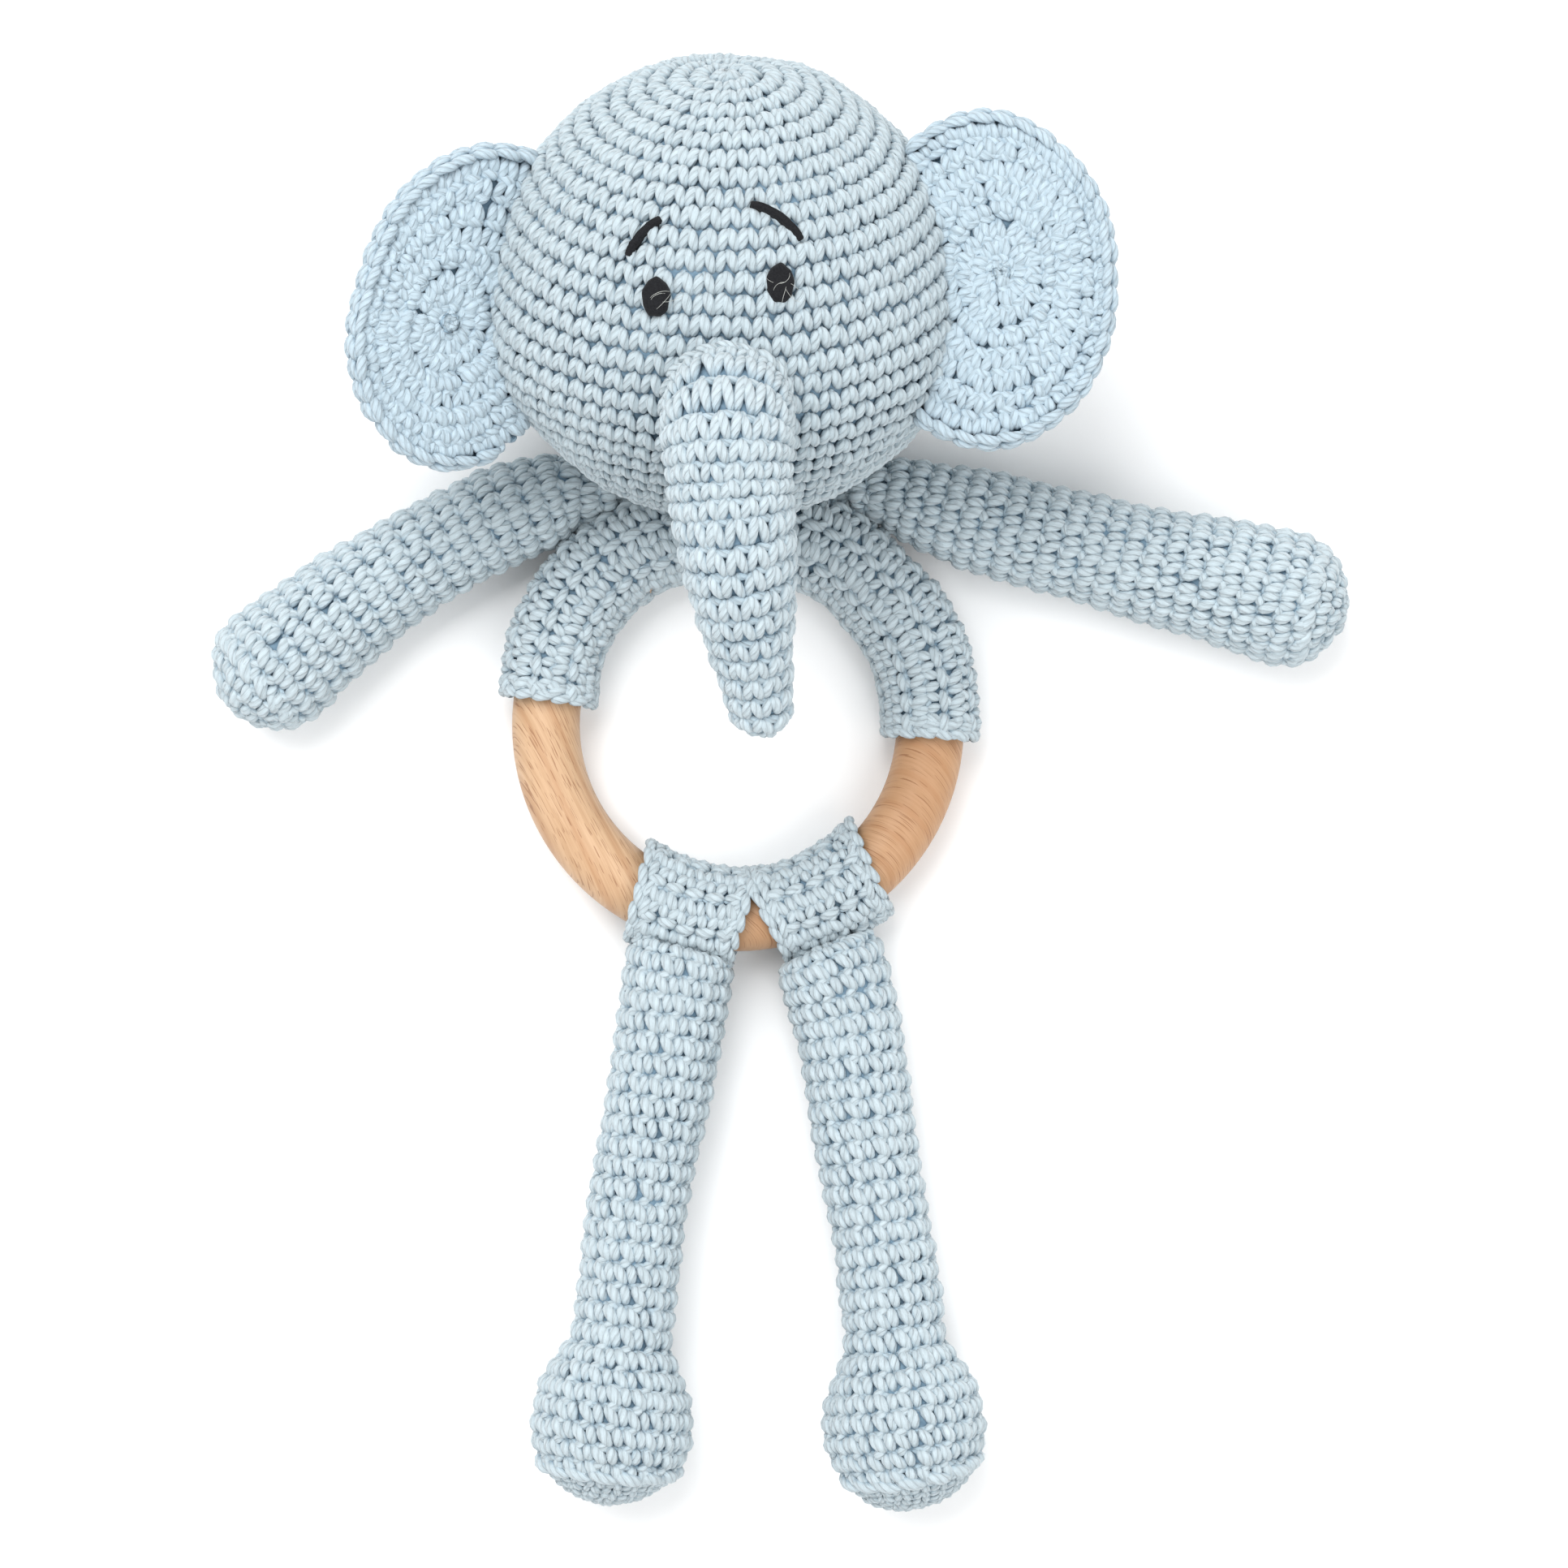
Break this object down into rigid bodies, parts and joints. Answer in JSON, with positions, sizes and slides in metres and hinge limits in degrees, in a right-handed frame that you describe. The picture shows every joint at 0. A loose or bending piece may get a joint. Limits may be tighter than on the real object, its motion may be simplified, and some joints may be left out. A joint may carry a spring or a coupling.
{
  "type": "crocheted elephant teether",
  "caption": "Crocheted, stuffed elephant toy with floppy arms, legs, trunk and ears, built on a round wooden teething ring, lying on its back.",
  "frame": {"origin": "middle of the outline in plan, on the surface the toy lies on", "axes": "+X to the right seen from above the face, +Y from the feet to the crown, +Z out of the face"},
  "size_m": [0.175, 0.2211, 0.08],
  "materials": {
    "cotton_yarn": "plied cotton yarn, single crochet",
    "stuffing": "loose polyester fibre",
    "beech": "fine sanded, unvarnished beech",
    "felt": "black wool felt",
    "capsule": "matt moulded plastic"
  },
  "bodies": {
    "sleeve": {"ring_sleeve": "cotton_yarn", "sleeve_seam": "cotton_yarn"},
    "ring": {"teething_ring": "beech"},
    "neck": {"neck_seam": "cotton_yarn"},
    "head": {"head_shell": "cotton_yarn", "head_stuffing": "stuffing", "rattle_capsule": "capsule", "left_eye": "felt", "right_eye": "felt", "left_eyebrow": "felt", "right_eyebrow": "felt"},
    "rattle": {"rattle_beads": "capsule"},
    "trunk_root": {"trunk_seam": "cotton_yarn"},
    "trunk": {"trunk_shell": "cotton_yarn", "trunk_stuffing": "stuffing"},
    "left_ear": {"left_ear_front": "cotton_yarn", "left_ear_back": "cotton_yarn", "left_ear_rim": "cotton_yarn"},
    "left_shoulder": {"left_shoulder_seam": "cotton_yarn"},
    "left_arm": {"left_arm_shell": "cotton_yarn", "left_arm_stuffing": "stuffing"},
    "left_cuff": {"left_leg_cuff": "cotton_yarn"},
    "left_leg": {"left_leg_shell": "cotton_yarn", "left_leg_stuffing": "stuffing"},
    "right_ear": {"right_ear_front": "cotton_yarn", "right_ear_back": "cotton_yarn", "right_ear_rim": "cotton_yarn"},
    "right_shoulder": {"right_shoulder_seam": "cotton_yarn"},
    "right_arm": {"right_arm_shell": "cotton_yarn", "right_arm_stuffing": "stuffing"},
    "right_cuff": {"right_leg_cuff": "cotton_yarn"},
    "right_leg": {"right_leg_shell": "cotton_yarn", "right_leg_stuffing": "stuffing"}
  },
  "joints": [
    {"name": "ring_turn", "type": "hinge", "parent": "sleeve", "child": "ring", "pos_m": [-0.007, 0.0105, 0.00785], "axis": [0, 0, 1], "continuous": true},
    {"name": "head_nod", "type": "hinge", "parent": "sleeve", "child": "neck", "pos_m": [-0.007, 0.04025, 0.00785], "axis": [1, 0, 0], "range_deg": [-15, 20], "stiffness_Nm_per_rad": 0.05},
    {"name": "head_turn", "type": "hinge", "parent": "neck", "child": "head", "pos_m": [-0.0088, 0.0715, 0.0326], "axis": [0, 0.866, 0.5], "range_deg": [-18, 18], "stiffness_Nm_per_rad": 0.05},
    {"name": "rattle_shake", "type": "slide", "parent": "head", "child": "rattle", "axis": [0, 0, 1], "range_m": [0, 0.0153]},
    {"name": "trunk_swing", "type": "hinge", "parent": "head", "child": "trunk_root", "pos_m": [-0.0079, 0.0557, 0.0654], "axis": [0.0249, -0.4447, 0.8953], "range_deg": [-25, 25], "stiffness_Nm_per_rad": 0.01},
    {"name": "trunk_lift", "type": "hinge", "parent": "trunk_root", "child": "trunk", "pos_m": [-0.00771, 0.05237, 0.07211], "axis": [-1, 0, 0], "range_deg": [-8, 40], "stiffness_Nm_per_rad": 0.02},
    {"name": "left_ear_flap", "type": "hinge", "parent": "head", "child": "left_ear", "pos_m": [-0.0461, 0.073, 0.043], "axis": [0.1908, 0.9816, 0], "range_deg": [-30, 25], "stiffness_Nm_per_rad": 0.01},
    {"name": "left_arm_swing", "type": "hinge", "parent": "sleeve", "child": "left_shoulder", "pos_m": [-0.02399, 0.04627, 0.00785], "axis": [0, 0, -1], "range_deg": [-5, 35]},
    {"name": "left_arm_lift", "type": "hinge", "parent": "left_shoulder", "child": "left_arm", "pos_m": [-0.02399, 0.04627, 0.00785], "axis": [-0.4441, 0.896, 0], "range_deg": [-45, 30]},
    {"name": "left_cuff_slide", "type": "hinge", "parent": "sleeve", "child": "left_cuff", "pos_m": [-0.007, 0.0105, 0.00785], "axis": [0, 0, -1], "range_deg": [0, 35]},
    {"name": "left_leg_swing", "type": "hinge", "parent": "left_cuff", "child": "left_leg", "pos_m": [-0.0147, -0.01824, 0.00785], "axis": [-0.9899, 0.1416, 0], "range_deg": [-72, 72]},
    {"name": "right_ear_flap", "type": "hinge", "parent": "head", "child": "right_ear", "pos_m": [0.028, 0.0758, 0.0462], "axis": [0.0523, -0.9986, 0], "range_deg": [-30, 25], "stiffness_Nm_per_rad": 0.01},
    {"name": "right_arm_swing", "type": "hinge", "parent": "sleeve", "child": "right_shoulder", "pos_m": [0.00879, 0.04682, 0.00785], "axis": [0, 0, 1], "range_deg": [-5, 35]},
    {"name": "right_arm_lift", "type": "hinge", "parent": "right_shoulder", "child": "right_arm", "pos_m": [0.00879, 0.04682, 0.00785], "axis": [-0.2407, -0.9706, 0], "range_deg": [-45, 30]},
    {"name": "right_cuff_slide", "type": "hinge", "parent": "sleeve", "child": "right_cuff", "pos_m": [-0.007, 0.0105, 0.00785], "axis": [0, 0, 1], "range_deg": [0, 35]},
    {"name": "right_leg_swing", "type": "hinge", "parent": "right_cuff", "child": "right_leg", "pos_m": [0.00581, -0.01635, 0.00785], "axis": [-0.9903, -0.1392, 0], "range_deg": [-72, 72]}
  ]
}
